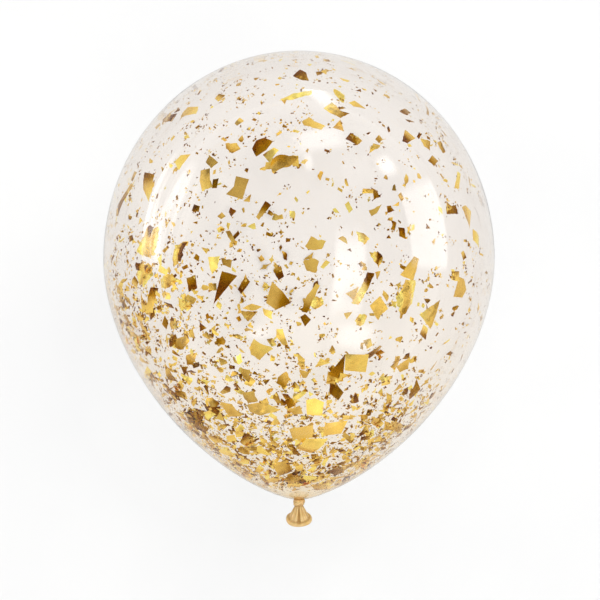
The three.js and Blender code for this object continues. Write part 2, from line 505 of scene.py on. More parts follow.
# ---------------------------------------------------------------- the foil
class Flakes:
    """Thin closed shards of foil, all in one mesh, with one cell of the bake map each."""

    def __init__(self, name):
        self.name = name
        self.verts, self.faces, self.tone, self.cell, self.local = [], [], [], [], []
        self.count = 0

    def add(self, pts, tris, normal, tone, thick=0.07 * MM):
        """pts: points of the sheet's outer side; tris: its faces, anticlockwise from outside; normal: which way is out."""
        pts = np.asarray(pts, float)
        base = len(self.verts)
        n = len(pts)
        back = pts - np.asarray(normal) * thick
        self.verts.extend(pts.tolist())
        self.verts.extend(back.tolist())
        edges = {}
        for t in tris:
            self.faces.append(tuple(base + i for i in t))
            self.faces.append(tuple(base + n + i for i in reversed(t)))
            for i, j in zip(t, t[1:] + t[:1]):
                edges[(i, j)] = True
        for i, j in edges:
            if (j, i) not in edges:
                self.faces.append((base + j, base + i, base + n + i, base + n + j))
        # place in the flake's own cell
        c = pts.mean(0)
        u = np.cross(normal, (0.31, 0.9, 0.2))
        u /= np.linalg.norm(u)
        w = np.cross(normal, u)
        flat = np.stack([(pts - c) @ u, (pts - c) @ w], 1)
        span = max(1e-6, np.abs(flat).max())
        flat = flat / span * 0.5
        self.local.extend(flat.tolist())
        self.local.extend(flat.tolist())
        tone = np.broadcast_to(np.asarray(tone, float), (n,)).tolist()
        self.tone.extend(tone + tone)
        self.cell.extend([self.count] * (2 * n))
        self.count += 1

    def build(self, mat, slot="gold_foil"):
        ob = new_object(self.name, self.verts, self.faces)
        me = ob.data
        me.set_sharp_from_angle(angle=math.radians(32))
        tone = me.attributes.new("tone", "FLOAT", "POINT")
        tone.data.foreach_set("value", np.array(self.tone, np.float32))
        # the bake map: a square grid of cells
        side = max(1, math.ceil(math.sqrt(self.count)))
        cell = np.array(self.cell)
        local = np.array(self.local)
        uv = np.stack([(cell % side + 0.5 + 0.8 * local[:, 0]) / side, (cell // side + 0.5 + 0.8 * local[:, 1]) / side], 1)
        layer = me.uv_layers.new(name="OFBake")
        loops = np.zeros(len(me.loops), int)
        me.loops.foreach_get("vertex_index", loops)
        layer.data.foreach_set("uv", uv[loops].astype(np.float32).ravel())
        me.materials.append(mat)
        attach(ob, "root")
        return ob


def keep_inside(p, gap):
    """Pushes points that would stick out through the skin back in, so a sheet lies along the wall it touches."""
    p = np.array(p, float)
    a = BELLY_Y - p[:, 1]
    a = np.clip(a, -(CROWN_L - 3 * MM), NECK_A - 6 * MM)
    p[:, 1] = BELLY_Y - a
    s = slope(a)
    limit = radius(a) - (SKIN_T + gap) * np.sqrt(1 + s * s)
    x, z = p[:, 0], p[:, 2] - AXIS_Z
    r = np.hypot(x, z)
    f = np.where(r > limit, limit / np.maximum(r, 1e-9), 1.0)
    p[:, 0] = x * f
    p[:, 2] = AXIS_Z + z * f
    p[:, 2] = np.maximum(p[:, 2], SKIN_T + gap)
    return p


# --- where the camera is, and where a place in the picture falls on the skin
CAM_D = 1.6  # above the axis
CAM_X, CAM_Y = 0.00074, -0.0079
F_PX = 195.8 / (BELLY_R / math.sqrt(CAM_D**2 - BELLY_R**2))  # picture widths are 600
LENS = F_PX * 36 / 600


def on_wall(px, py, front, depth=0.6 * MM):
    """(a, phi) of the place on the skin that shows at (px, py), on its near or its far side."""
    z = 0.0
    x = y = 0.0
    for _ in range(12):
        x = (px - 300) / F_PX * (CAM_D - z) + CAM_X
        y = (300 - py) / F_PX * (CAM_D - z) + CAM_Y
        a = min(max(BELLY_Y - y, -(CROWN_L - 4 * MM)), NECK_A - 8 * MM)
        r = float(radius(a)) - depth
        zz = math.sqrt(max(r * r - x * x, (0.08 * r) ** 2))
        z = 0.5 * z + 0.5 * (zz if front else -zz)
    return a, math.atan2(x, z)


def tangents(n):
    """Two directions along the skin: t runs towards the picture's right, b up it, as far as the skin allows."""
    t = np.array([n[2], 0.0, -n[0]])
    if np.linalg.norm(t) < 1e-6:
        t = np.array([1.0, 0, 0])
    t /= np.linalg.norm(t)
    b = np.cross(n, t)
    b /= np.linalg.norm(b)
    if b[1] < 0:
        b = -b
        t = -t
    return t, b


def anticlockwise(poly):
    """The same outline, going round anticlockwise."""
    poly = np.asarray(poly, float)
    x, y = poly[:, 0], poly[:, 1]
    return poly if float(np.sum(x * np.roll(y, -1) - y * np.roll(x, -1))) > 0 else poly[::-1]


def polygon_grid(poly, step):
    """Points and triangles over a convex or star-shaped polygon: rings from its middle to its edge."""
    poly = anticlockwise(poly)
    c = poly.mean(0)
    edge = []
    n = len(poly)
    for i in range(n):
        p, q = poly[i], poly[(i + 1) % n]
        k = max(1, int(round(np.linalg.norm(q - p) / step)))
        for j in range(k):
            edge.append(p + (q - p) * j / k)
    edge = np.array(edge)
    m = len(edge)
    rings = max(2, int(round(np.linalg.norm(edge - c, axis=1).mean() / step)))
    pts = [c]
    for r in range(1, rings + 1):
        pts.extend(c + (edge - c) * (r / rings))
    tris = []
    for j in range(m):
        k = (j + 1) % m
        tris.append((0, 1 + j, 1 + k))
    for r in range(1, rings):
        A, B = 1 + (r - 1) * m, 1 + r * m
        for j in range(m):
            k = (j + 1) % m
            tris.append((A + j, B + j, B + k))
            tris.append((A + j, B + k, A + k))
    return np.array(pts), tris


def turned(v, axis, angle):
    axis = axis / np.linalg.norm(axis)
    c, s = math.cos(angle), math.sin(angle)
    return v * c + np.cross(axis, v) * s + np.outer(v @ axis, axis) * (1 - c)


def place(flakes, a, phi, poly, tone, tilt=0.0, tilt_dir=0.0, curl=0.0, curl_dir=0.0, crinkle=0.0, gap=0.15 * MM, step=1.6 * MM, fade=0.0, fade_dir=0.0, wave=6 * MM, painted_fold_shading=0.04):
    """Lays one sheet against the wall. poly is its outline in metres, x to the picture's right and y up it. Its tone
    rises by fade each way from the middle, towards fade_dir: painted light on that side, painted shade on the other."""
    p0, n = wall_point(a, phi, SKIN_T + gap)
    n = np.asarray(n)
    t, b = tangents(n)
    pts, tris = polygon_grid(poly, step)
    u, w = pts[:, 0], pts[:, 1]
    half = 0.5 * max(1e-6, float(np.ptp(pts, axis=0).max()))
    d = u * math.cos(curl_dir) + w * math.sin(curl_dir)
    h = curl * d * d
    k = rng.uniform(0, 6.28, 6)
    if crinkle:
        f = 2 * math.pi / wave
        h = h + crinkle * (np.sin(f * u + k[0] + 1.3 * np.sin(f * 0.6 * w + k[1])) + 0.6 * np.sin(1.7 * f * w + k[2]) * np.cos(0.8 * f * u + k[3]))
    # painted light and shade: the tone rises towards fade_dir and falls the other way across the sheet, as if it
    # caught a light on one side, and bands along its folds are painted lighter and darker
    way = (u * math.cos(fade_dir) + w * math.sin(fade_dir)) / half
    fold_shading_bands = np.sin(4.2 * u / half + k[4] + 1.1 * np.sin(2.2 * w / half + k[5])) * (0.7 + 0.3 * np.sin(3.2 * w / half + k[5]))
    tones = np.clip(tone + fade * np.sin(np.clip(1.5 * way, -1.5, 1.5)) + painted_fold_shading * np.sign(fold_shading_bands) * np.abs(fold_shading_bands) ** 0.6, 0, 1)
    local = u[:, None] * t + w[:, None] * b - (h[:, None]) * n
    axis = t * math.cos(tilt_dir) + b * math.sin(tilt_dir)
    local = turned(local, axis, tilt)
    facing = turned(n[None, :], axis, tilt)[0]
    # a tilted sheet touches the wall with its lifted edge and hangs inwards from it
    local = local - n * max(0.0, float((local @ n).max()))
    world = keep_inside(p0 + local, gap)
    if np.cross(t, b) @ n < 0:
        tris = [tr[::-1] for tr in tris]
    flakes.add(world, tris, facing, tones)


# Outlines of cut and torn foil, about one unit across.
def quad(w, h, skew=0.0, ragged=0.08):
    q = np.array([(-w / 2 + skew, -h / 2), (w / 2 + skew, -h / 2), (w / 2 - skew, h / 2), (-w / 2 - skew, h / 2)])
    return q + rng.normal(0, ragged * min(w, h), (4, 2))


def triangle(w, h, lean=0.0, ragged=0.06):
    q = np.array([(-w / 2, -h / 2), (w / 2, -h / 2), (lean * w / 2, h / 2)])
    return q + rng.normal(0, ragged * min(w, h), (3, 2))


def star(w, h, points=4, waist=0.42):
    out = []
    for i in range(2 * points):
        f = math.pi * i / points + rng.normal(0, 0.12)
        r = (1.0 if i % 2 == 0 else waist) * rng.uniform(0.8, 1.15)
        out.append((r * w / 2 * math.cos(f), r * h / 2 * math.sin(f)))
    return np.array(out)


def shard(w, h, corners=6):
    f = np.sort(rng.uniform(0, 2 * math.pi, corners) * 0.35 + np.arange(corners) / corners * 2 * math.pi * 0.98)
    r = rng.uniform(0.65, 1.1, corners)
    return np.stack([r * w / 2 * np.cos(f), r * h / 2 * np.sin(f)], 1)


def rotated(poly, angle):
    c, s = math.cos(angle), math.sin(angle)
    return np.asarray(poly) @ np.array([[c, s], [-s, c]])


def torn(poly, amount, spacing):
    """The outline with its edges torn unevenly: a new corner about every spacing, moved by amount."""
    poly = np.asarray(poly, float)
    out = []
    for i in range(len(poly)):
        p, q = poly[i], poly[(i + 1) % len(poly)]
        side = q - p
        length = np.linalg.norm(side)
        k = max(1, int(length / spacing))
        cross = np.array([-side[1], side[0]]) / max(length, 1e-9)
        out.append(p)
        for j in range(1, k):
            out.append(p + side * (j + rng.uniform(-0.25, 0.25)) / k + cross * rng.normal(0, amount))
    return np.array(out)


PX = 0.7406 * MM  # one picture unit at the balloon's outline
# the tones also paint reflection: bright stands for a piece that mirrors a light, dark for one that mirrors something
# dark, besides the foil's own range of colour
B, G, T, D = 0.90, 0.66, 0.44, 0.12  # tones: bright, gold, tan, dark

# The pieces that can be told apart, by their corners in the picture: tone, partly the piece's own colour and partly
# a painted reflection of how bright it shows, how much it rises each way from the middle and the direction it rises in
# (degrees, 0 to the picture's right, 90 up it), a painted gradient of light and shade, whether it is flat (f), bent
# (b) or crumpled (c), and how torn its edges are.
PIECES = [
    (0.10, 0.16, -40, "f", 0.3, [(252, 148), (256, 140), (264, 137), (273, 141), (266, 150), (256, 156)]),
    (0.88, 0.1, 0, "b", 0.3, [(262, 153), (274, 147), (279, 150), (273, 157), (270, 163)]),
    (0.38, 0.12, -120, "b", 0.5, [(272, 156), (279, 151), (298, 154), (290, 164), (280, 168), (273, 174), (270, 165)]),
    (0.46, 0.03, 40, "f", 0.2, [(236, 176), (249, 179), (242, 199), (226, 194), (234, 186)]),
    (0.62, 0.16, -60, "b", 0.4, [(200, 170), (210, 168), (210, 179), (213, 187), (200, 190), (198, 180)]),
    (0.20, 0.10, 0, "f", 0.3, [(213, 179), (219, 178), (217, 188), (212, 188)]),
    (0.42, 0.22, 60, "b", 0.4, [(225, 142), (236, 141), (240, 147), (232, 153), (226, 148)]),
    (0.80, 0.12, -90, "b", 0.4, [(180, 154), (189, 152), (184, 162), (179, 170), (175, 162)]),
    (0.50, 0.06, 20, "f", 0.3, [(210, 155), (218, 162), (211, 168), (206, 162)]),
    (0.30, 0.34, -110, "b", 0.3, [(265, 200), (271, 204), (259, 220), (256, 217)]),
    (0.48, 0.40, -80, "b", 0.4, [(145, 172), (154, 174), (151, 190), (144, 200), (140, 188)]),
    (0.60, 0.20, 30, "b", 0.6, [(186, 105), (196, 102), (195, 111), (185, 115), (180, 120), (182, 111)]),
    (0.38, 0.14, 0, "f", 0.4, [(170, 112), (172, 114), (163, 122), (162, 119)]),
    (0.46, 0.12, 0, "f", 0.4, [(160, 122), (161, 125), (157, 129), (155, 127)]),
    (0.34, 0.12, 80, "f", 0.2, [(134, 171), (137, 172), (133, 181), (131, 180)]),
    (0.24, 0.16, 80, "f", 0.3, [(130, 182), (132, 185), (123, 201), (119, 214), (118, 206), (124, 193)]),
    (0.40, 0.12, 80, "f", 0.3, [(117, 208), (119, 209), (118, 216), (116, 216)]),
    (0.14, 0.10, -20, "f", 0.3, [(194, 204), (200, 206), (199, 212), (192, 211)]),
    (0.45, 0.1, 0, "b", 0.4, [(217, 216), (222, 212), (226, 216), (221, 219)]),
    (0.42, 0.2, -60, "b", 0.3, [(225, 231), (229, 230), (236, 241), (232, 243)]),
    (0.95, 0.05, 0, "b", 0.5, [(279, 96), (292, 91), (312, 90), (312, 93), (293, 96)]),
    (0.16, 0.2, -60, "b", 0.4, [(293, 74), (300, 69), (306, 71), (309, 77), (300, 76)]),
    (0.66, 0.12, -30, "b", 0.6, [(302, 121), (309, 115), (315, 120), (326, 124), (321, 130), (304, 125)]),
    (0.55, 0.38, 150, "b", 0.5, [(324, 106), (332, 102), (340, 109), (350, 112), (341, 116), (331, 111)]),
    (0.62, 0.12, 150, "b", 0.3, [(349, 100), (355, 99), (366, 109), (354, 105)]),
    (0.20, 0.1, 20, "b", 0.5, [(399, 111), (405, 107), (412, 111), (406, 115)]),
    (0.16, 0.1, 20, "b", 0.3, [(405, 119), (411, 119), (415, 121), (409, 122)]),
    (0.28, 0.36, 20, "b", 0.4, [(407, 127), (411, 132), (416, 137), (407, 143), (402, 141)]),
    (0.50, 0.25, 150, "b", 0.5, [(421, 137), (430, 141), (431, 149), (425, 145)]),
    (0.28, 0.12, 60, "f", 0.6, [(432, 155), (438, 161), (434, 166), (428, 160)]),
    (0.34, 0.05, 30, "f", 0.4, [(379, 134), (383, 139), (379, 143), (375, 139)]),
    (0.55, 0.2, 30, "b", 0.4, [(462, 207), (466, 205), (473, 211), (473, 228), (466, 218)]),
    (0.62, 0.1, 0, "f", 0.5, [(369, 210), (382, 204), (377, 213), (372, 216)]),
    (0.66, 0.1, 60, "f", 0.8, [(305, 246), (311, 236), (318, 240), (326, 241), (322, 249), (312, 250)]),
    (0.52, 0.1, 60, "f", 0.8, [(303, 262), (311, 258), (319, 261), (316, 273), (307, 271)]),
    (0.55, 0.45, 200, "c", 0.5, [(369, 252), (380, 251), (385, 258), (381, 268), (374, 261)]),
    (0.90, 0.1, 0, "c", 0.5, [(357, 231), (364, 233), (372, 239), (366, 245), (359, 241)]),
    (0.52, 0.10, 200, "f", 0.3, [(414, 256), (419, 259), (414, 281), (400, 275)]),
    (0.62, 0.34, -70, "c", 0.3, [(367, 273), (374, 274), (360, 308), (353, 307)]),
    (0.42, 0.30, 60, "b", 0.4, [(316, 284), (320, 286), (307, 313), (302, 312), (305, 300)]),
    (0.88, 0.1, 0, "c", 0.6, [(314, 298), (322, 296), (324, 306), (315, 311), (309, 307)]),
    (0.12, 0.06, 0, "f", 0.3, [(300, 317), (305, 314), (311, 320), (305, 327)]),
    (0.60, 0.04, 60, "f", 0.2, [(380, 296), (388, 309), (377, 319), (370, 306)]),
    (0.84, 0.14, 90, "c", 0.5, [(407, 280), (421, 282), (420, 305), (409, 310), (400, 319), (398, 297)]),
    (0.58, 0.38, 180, "b", 0.3, [(440, 300), (434, 322), (431, 330), (422, 316)]),
    (0.46, 0.04, 0, "f", 0.3, [(459, 277), (464, 279), (466, 290), (462, 298), (454, 297)]),
    (0.92, 0.06, 0, "c", 0.6, [(354, 321), (361, 315), (369, 318), (367, 328), (357, 326)]),
    (0.74, 0.03, 60, "f", 0.1, [(345, 354), (369, 355), (366, 373), (345, 371)]),
    (0.12, 0.08, 240, "f", 0.1, [(345, 355), (343, 381), (328, 375)]),
    (0.14, 0.12, 0, "b", 0.6, [(331, 385), (338, 387), (344, 394), (338, 401), (330, 395)]),
    (0.45, 0.14, 90, "f", 0.4, [(411, 357), (408, 369), (400, 373), (396, 367)]),
    (0.76, 0.06, 60, "f", 0.2, [(306, 401), (315, 399), (324, 403), (322, 416), (307, 415)]),
    (0.22, 0.30, 60, "c", 0.6, [(349, 402), (355, 394), (361, 397), (360, 404), (352, 405)]),
    (0.16, 0.12, 60, "b", 0.4, [(417, 380), (420, 390), (411, 402), (410, 396)]),
    (0.03, 0.12, 60, "f", 0.1, [(222, 271), (237, 276), (213, 305)]),
    (0.30, 0.20, 160, "f", 0.2, [(272, 282), (283, 292), (291, 303), (276, 310), (266, 303)]),
    (0.62, 0.12, 0, "b", 0.4, [(241, 309), (252, 304), (265, 307), (252, 311)]),
    (0.80, 0.1, 0, "b", 0.5, [(262, 309), (273, 312), (272, 320), (264, 316)]),
    (0.88, 0.06, 60, "b", 0.3, [(207, 257), (220, 256), (218, 268), (211, 275)]),
    (0.34, 0.1, 0, "f", 0.5, [(221, 258), (232, 260), (231, 268), (223, 265)]),
    (0.74, 0.08, 30, "f", 0.9, [(254, 339), (260, 344), (273, 350), (265, 355), (260, 361), (251, 355), (249, 348)]),
    (0.70, 0.14, 60, "b", 0.4, [(276, 330), (283, 329), (288, 347), (283, 346), (276, 337)]),
    (0.36, 0.12, 60, "b", 0.9, [(175, 340), (184, 336), (188, 342), (183, 350), (175, 347)]),
    (0.32, 0.14, 60, "b", 0.6, [(186, 356), (196, 354), (193, 366), (187, 365)]),
    (0.10, 0.06, 60, "f", 0.2, [(181, 367), (188, 367), (185, 376)]),
    (0.34, 0.26, 120, "b", 0.4, [(162, 365), (167, 370), (179, 382), (166, 381)]),
    (0.46, 0.06, 60, "f", 0.5, [(241, 369), (250, 370), (249, 383), (243, 378)]),
    (0.36, 0.12, 60, "f", 0.7, [(286, 372), (291, 380), (285, 388), (276, 383), (280, 376)]),
    (0.50, 0.14, 60, "f", 0.5, [(242, 394), (254, 391), (258, 402), (248, 404)]),
    (0.46, 0.04, 60, "f", 0.2, [(220, 402), (232, 404), (241, 417), (229, 418)]),
    (0.60, 0.14, 0, "b", 0.5, [(247, 406), (262, 404), (280, 411), (260, 416), (250, 413)]),
    (0.14, 0.08, 0, "f", 0.5, [(285, 401), (292, 399), (296, 406), (288, 409)]),
    (0.44, 0.05, 0, "f", 0.3, [(290, 410), (300, 406), (303, 414), (293, 415)]),
    (0.14, 0.20, 120, "b", 0.4, [(190, 413), (197, 419), (206, 431), (197, 430)]),
    (0.38, 0.34, -90, "b", 0.4, [(149, 288), (155, 289), (153, 313), (146, 313)]),
    (0.95, 0.10, 90, "c", 0.6, [(137, 226), (150, 224), (160, 230), (156, 246), (148, 257), (136, 252)]),
    (0.30, 0.30, -60, "c", 0.5, [(147, 224), (151, 226), (146, 246), (142, 240)]),
    (0.46, 0.34, 180, "c", 0.5, [(171, 245), (182, 241), (181, 262), (170, 268), (165, 257)]),
    (0.88, 0.16, 0, "c", 0.6, [(132, 267), (141, 264), (148, 275), (145, 288), (135, 284), (129, 275)]),
    (0.20, 0.20, 0, "c", 0.5, [(136, 262), (146, 266), (143, 272), (134, 270)]),
    (0.78, 0.14, 60, "c", 0.6, [(155, 280), (172, 273), (176, 282), (161, 291), (153, 289)]),
    (0.58, 0.10, 30, "f", 0.2, [(289, 429), (313, 426), (314, 439), (293, 440)]),
    (0.62, 0.08, 30, "f", 0.2, [(325, 424), (348, 422), (341, 434), (323, 436)]),
    (0.76, 0.10, 30, "b", 0.3, [(306, 441), (328, 439), (310, 459), (295, 454)]),
    (0.95, 0.05, 0, "c", 0.5, [(293, 440), (308, 440), (305, 446), (295, 447)]),
    (0.36, 0.26, 150, "b", 0.6, [(272, 466), (288, 464), (293, 475), (280, 477)]),
    (0.16, 0.16, 60, "b", 0.5, [(327, 474), (340, 467), (350, 468), (336, 478)]),
    (0.14, 0.12, 60, "b", 0.4, [(199, 424), (208, 430), (205, 436), (199, 432)]),
]

# Smaller or less clear pieces: place in the picture, size in picture units, turn in degrees, outline, tone (partly
# painted reflection, as above), tilt and the way it tilts in degrees.
LARGE = [
    (324, 70, 9, 6, 20, "s", G, 20, 70),
    (204, 287, 9, 8, 0, "s", G, 20, 70),
    (200, 297, 8, 12, 0, "s", G, 20, 70),
    (251, 326, 7, 7, 0, "s", G, 20, 70),
    (227, 326, 6, 11, 20, "s", G, 20, 70),
    (221, 342, 14, 10, -20, "s", 0.3, 20, 70),
    (175, 354, 6, 10, -30, "s", D, 20, 70),
    (229, 380, 10, 9, 0, "s", B, 20, 70),
    (226, 391, 13, 10, -20, "s", 0.3, 20, 70),
    (181, 397, 10, 16, -20, "s", 0.3, 20, 70),
    (127, 302, 7, 17, -10, "s", 0.4, 25, 0),
    (136, 337, 6, 20, -25, "s", 0.45, 30, 0),
    (239, 361, 7, 14, 10, "s", B, 20, 70),
    (272, 359, 7, 9, 20, "s", G, 20, 70),
    (420, 176, 8, 7, 0, "s", G, 20, 70),
    (460, 180, 4, 16, 10, "l", B, 35, 0),
    (444, 145, 4, 11, -35, "l", 0.35, 30, 0),
    (386, 177, 7, 6, 0, "s", 0.3, 20, 70),
    (347, 182, 7, 8, 0, "s", 0.5, 20, 70),
    (391, 219, 8, 5, -10, "s", 0.35, 20, 70),
    (414, 227, 6, 11, 30, "s", B, 20, 70),
    (389, 237, 6, 5, 0, "s", D, 20, 70),
    (281, 232, 7, 7, 0, "x", 0.3, 20, 70),
    (280, 217, 8, 7, 0, "s", 0.6, 20, 70),
    (421, 341, 7, 10, 10, "x", 0.4, 20, 70),
    (434, 367, 6, 12, 15, "s", 0.4, 25, 70),
    (391, 378, 7, 8, 0, "s", 0.4, 20, 70),
    (396, 405, 10, 9, 20, "s", 0.3, 20, 70),
    (375, 422, 11, 15, -25, "s", 0.55, 20, 70),
    (367, 450, 13, 10, 15, "s", 0.5, 25, 70),
    (403, 432, 30, 4, 42, "l", 0.35, 40, 100),
    (327, 361, 7, 7, 0, "s", 0.45, 20, 70),
    (309, 371, 7, 6, 0, "s", 0.3, 20, 70),
    (245, 442, 12, 18, 30, "s", 0.3, 20, 60),
    (245, 463, 16, 9, -20, "s", 0.75, 20, 70),
    (322, 482, 22, 8, -8, "s", B, 20, 90),
    (296, 486, 24, 8, 4, "s", 0.75, 20, 90),
    (274, 481, 16, 8, -14, "s", 0.5, 20, 90),
    (352, 438, 14, 11, 30, "s", B, 18, 80),
    (366, 388, 9, 8, 14, "s", G, 18, 100),
    (322, 336, 9, 7, -20, "s", G, 16, 60),
    (206, 337, 9, 11, 20, "s", 0.5, 18, 20),
    (222, 362, 10, 10, -12, "s", 0.5, 18, 50),
    (206, 383, 10, 9, 30, "s", B, 18, 60),
    (232, 440, 16, 12, -36, "s", 0.8, 20, 60),
    (262, 452, 18, 11, 20, "s", 0.85, 18, 90),
    (350, 468, 20, 7, 20, "s", 0.3, 20, 90),
    (219, 418, 12, 12, 10, "s", 0.75, 20, 90),
    (213, 404, 11, 14, -30, "s", 0.4, 20, 90),
    (187, 381, 8, 14, -20, "s", 0.8, 20, 90),
    (122, 303, 5, 14, -12, "s", 0.34, 12, 0),
    (127, 320, 7, 13, -16, "s", 0.3, 12, 0),
    (132, 335, 7, 13, -20, "s", 0.5, 12, 0),
    (118, 288, 4, 10, -8, "s", 0.4, 12, 0),
    (138, 349, 6, 12, -24, "s", 0.36, 12, 0),
    (144, 362, 6, 11, -28, "s", 0.6, 12, 0),
    (139, 318, 8, 9, 10, "s", 0.62, 16, 0),
    (146, 333, 9, 8, 30, "s", 0.4, 16, 0),
    (327, 69, 14, 4, -8, "x", 0.34, 14, 70),
    (346, 79, 12, 4, 12, "s", 0.72, 14, 70),
    (352, 68, 10, 3, 14, "x", 0.45, 14, 70),
    (364, 88, 6, 5, 20, "s", G, 14, 70),
    (383, 82, 11, 4, 22, "s", 0.7, 14, 70),
    (387, 95, 8, 6, 40, "s", 0.5, 14, 70),
    (375, 90, 5, 3, 10, "s", D, 14, 70),
    (456, 163, 14, 3, 8, "s", 0.8, 14, 70),
    (470, 182, 3, 14, 14, "s", 0.5, 14, 70),
    (444, 132, 4, 9, -36, "s", 0.4, 14, 70),
    (214, 440, 12, 14, -34, "s", 0.36, 16, 90),
    (226, 455, 13, 10, -30, "s", 0.7, 16, 90),
    (243, 452, 12, 12, 0, "s", 0.3, 16, 90),
    (258, 472, 15, 8, -18, "s", 0.62, 16, 90),
    (280, 452, 12, 9, 10, "s", 0.45, 16, 90),
    (300, 470, 14, 9, 0, "s", 0.66, 16, 90),
    (318, 463, 12, 8, 12, "s", 0.4, 16, 90),
    (334, 452, 12, 9, 20, "s", 0.62, 16, 90),
]

OUTLINES = {
    "q": lambda w, h: quad(w, h, 0.06 * w),
    "t": lambda w, h: triangle(w, h, rng.uniform(-0.6, 0.6)),
    "s": lambda w, h: shard(w, h, int(rng.integers(5, 8))),
    "x": lambda w, h: star(w, h),
    "c": lambda w, h: shard(w, h, 7),
    "l": lambda w, h: quad(w, h, 0.02 * w, 0.12),
}


def build_foil():
    mats = foil_material()
    near, far = Flakes("foil_near"), Flakes("foil_far")

    def spread(a, phi, front):
        """What is seen slantwise is really longer across than it looks: metres per picture unit across and up."""
        _, n = wall_point(a, phi)
        scale = PX * (CAM_D - (0.13 if front else -0.13) * 0.8) / CAM_D
        return scale / np.array([max(0.42, n[2] / math.hypot(n[0], n[2])), max(0.42, math.hypot(n[0], n[2]))])

    placed = []

    def covers(a, phi, margin):
        """Whether a place on the near wall lies on one of the listed pieces, so that it stays clean."""
        p = np.asarray(wall_point(a, phi, SKIN_T)[0])
        for p0, t, b, poly in placed:
            d = p - p0
            if d @ d > (26 * MM) ** 2:
                continue
            x, y = (d @ t) / margin, (d @ b) / margin
            inside = False
            for (x1, y1), (x2, y2) in zip(poly, np.roll(poly, -1, axis=0)):
                if (y1 > y) != (y2 > y) and x < (x2 - x1) * (y - y1) / (y2 - y1) + x1:
                    inside = not inside
            if inside:
                return True
        return False

    for tone, fade, way, form, ragged, corners in PIECES:
        corners = np.array(corners, float)
        mid = corners.mean(0)
        a, phi = on_wall(mid[0], mid[1], True)
        p0, n = wall_point(a, phi, SKIN_T)
        t, b = tangents(np.asarray(n))
        spots = [wall_point(*on_wall(x, y, True), SKIN_T)[0] - p0 for x, y in corners]
        poly = torn([(d @ t, d @ b) for d in spots], ragged * (0.9 if form == "c" else 0.5) * MM, (1.6 if form == "c" else 2.0) * MM)
        placed.append((np.asarray(p0), t, b, np.asarray(poly)))
        crumpled = form == "c"
        place(
            near, a, phi, poly, tone,
            tilt=math.radians({"f": 4, "b": 12, "c": 18}[form]) * rng.uniform(0.6, 1.2),
            tilt_dir=rng.uniform(0, 2 * math.pi),
            curl={"f": 4, "b": 16, "c": 30}[form] * rng.uniform(0.7, 1.3),
            curl_dir=rng.uniform(0, math.pi),
            crinkle={"f": 0.015, "b": 0.06, "c": 0.45}[form] * MM, wave=(8 if crumpled else 7) * MM,
            gap=rng.uniform(0.12, 0.5) * MM, step=(1.0 if crumpled else 1.3) * MM, fade=fade, fade_dir=math.radians(way),
            # painted light and shade in bands along the folds, strong on crumpled pieces
            painted_fold_shading=0.5 if crumpled else 0.04,
        )

    for px, py, w, h, turn, kind, tone, tilt, way in LARGE:
        a, phi = on_wall(px, py, True)
        poly = rotated(OUTLINES[kind](w, h), math.radians(-turn)) * spread(a, phi, True)
        p0, n = wall_point(a, phi, SKIN_T)
        t, b = tangents(np.asarray(n))
        placed.append((np.asarray(p0), t, b, np.asarray(poly)))
        place(
            near, a, phi, torn(poly, 0.2 * MM, 2.2 * MM), tone + rng.normal(0, 0.04),
            tilt=math.radians(tilt) * rng.uniform(0.5, 1.0), tilt_dir=math.radians(way),
            curl=rng.uniform(6, 30), curl_dir=rng.uniform(0, math.pi),
            crinkle=rng.uniform(0.03, 0.14) * MM, gap=rng.uniform(0.15, 0.6) * MM, step=1.3 * MM,
            # a random painted gradient of light and shade across the sheet
            fade=rng.normal(0, 0.2), fade_dir=rng.uniform(0, 2 * math.pi),
        )

    def step_up(v, lo, hi):
        t = min(1.0, max(0.0, (v - lo) / (hi - lo)))
        return t * t * (3 - 2 * t)

    def clumps(a, phi, size):
        """A soft pattern of clumps and gaps, 0 to 1, size across."""
        u, v = a / size, phi * BELLY_R / size
        f = math.sin(u + 1.7 * math.sin(0.7 * v + 0.4)) * math.cos(v + 1.3 * math.sin(0.9 * u + 1.1)) + 0.6 * math.sin(1.9 * v + 2.3 * math.cos(0.8 * u))
        return min(1.0, max(0.0, 0.5 + 0.42 * f))

    def thickness(a, phi, floor, lower, bottom):
        """How thickly the foil lies at a place on the skin: thin at the crown, thick at the knot, and thicker on the
        side that it slid to."""
        down = (a + CROWN_L) / (CROWN_L + NECK_A)
        x = float(radius(a)) / BELLY_R * math.sin(phi)
        edge = 0.955 - 0.035 * step_up(down, 0.5, 0.8)
        base = floor + lower * step_up(down, 0.3, 0.62) + bottom * step_up(down, 0.64, 0.95)
        for at_x, at_down, more in (
            (0.28, 0.61, -0.7), (0.1, 0.31, -0.6), (-0.82, 0.61, 1.3), (0.62, 0.53, 0.3), (0.3, 0.49, -0.4),
            (-0.1, 0.6, -0.35), (-0.4, 0.9, 1.5), (0.1, 0.92, 0.7), (-0.75, 0.5, 0.5), (0.6, 0.82, 1.2),
        ):
            base *= 1.0 + more * math.exp(-(((x - at_x) / 0.24) ** 2) - ((down - at_down) / 0.07) ** 2)
        return base * (1.0 - 0.6 * x * (0.6 + 0.4 * step_up(down, 0.15, 0.45))) * (1.0 - 0.95 * step_up(abs(math.sin(phi)), edge, edge + 0.04))

    def somewhere(front):
        """A place on one wall, even over its area."""
        while True:
            a = rng.uniform(-CROWN_L, NECK_A - 7 * MM)
            if rng.uniform() <= float(radius(a)) / BELLY_R * math.sqrt(1 + float(slope(a)) ** 2) / 2.2:
                phi = rng.uniform(-math.pi / 2, math.pi / 2)
                return a, phi if front else math.pi - phi

